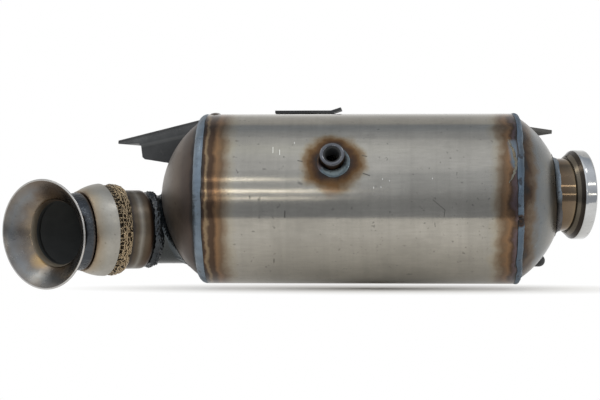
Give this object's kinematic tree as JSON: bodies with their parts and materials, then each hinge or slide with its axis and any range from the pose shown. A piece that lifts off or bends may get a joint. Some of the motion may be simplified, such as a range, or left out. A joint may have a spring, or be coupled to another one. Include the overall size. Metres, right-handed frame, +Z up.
{
  "type": "diesel particulate filter",
  "caption": "Welded stainless diesel particulate filter with a mesh ball decoupler and flared bell at the inlet and a clamp flange at the outlet.",
  "frame": {"origin": "middle of the outlet flange's bore, on the neck's axis", "axes": "+X along the can from inlet to outlet, +Z up as the picture shows it, +Y away from the viewer"},
  "size_m": [0.535, 0.1687, 0.1656],
  "materials": {
    "stainless": "satin",
    "tinted": "heat-tinted satin",
    "weld": "oxidised weld",
    "polished": "turned",
    "boss": "turned",
    "mesh": "knitted wire",
    "bracket": "dark coated",
    "catalyst": "fired ceramic",
    "filter": "fired ceramic",
    "mat": "fibre"
  },
  "bodies": {
    "can": {"shell": "stainless", "shell_seam_weld": "weld", "inlet_dome": "tinted", "outlet_dome": "stainless", "inlet_seam_weld": "weld", "outlet_seam_weld": "weld", "catalyst_brick": "catalyst", "catalyst_mat": "mat", "catalyst_front_ring": "stainless", "catalyst_rear_ring": "stainless", "filter_brick": "filter", "filter_mat": "mat", "filter_front_ring": "stainless", "filter_rear_ring": "stainless", "inlet_tube": "tinted", "inlet_tube_weld": "weld", "decoupler_ball": "tinted", "decoupler_ball_weld": "weld", "outlet_neck": "tinted", "outlet_neck_weld": "weld", "outlet_flange": "polished", "sensor_boss": "boss", "sensor_boss_weld": "weld", "inlet_bracket": "bracket", "top_bracket": "bracket", "outlet_bracket": "bracket", "hanger_pin": "bracket", "hanger_weld": "weld"},
    "mesh": {"decoupler_mesh": "mesh"},
    "inlet": {"decoupler_socket": "stainless", "inlet_elbow": "tinted", "bell_weld": "weld", "inlet_bell": "tinted"}
  },
  "joints": [
    {"name": "decoupler_tilt", "type": "hinge", "parent": "can", "child": "mesh", "pos_m": [-0.43397, -0.02499, -0.0319], "axis": [0.454, -0.891, 0], "range_deg": [-3, 3], "stiffness_Nm_per_rad": 40},
    {"name": "decoupler_swing", "type": "hinge", "parent": "mesh", "child": "inlet", "pos_m": [-0.43397, -0.02499, -0.0319], "axis": [0, 0, 1], "range_deg": [-10, 2], "stiffness_Nm_per_rad": 40}
  ]
}
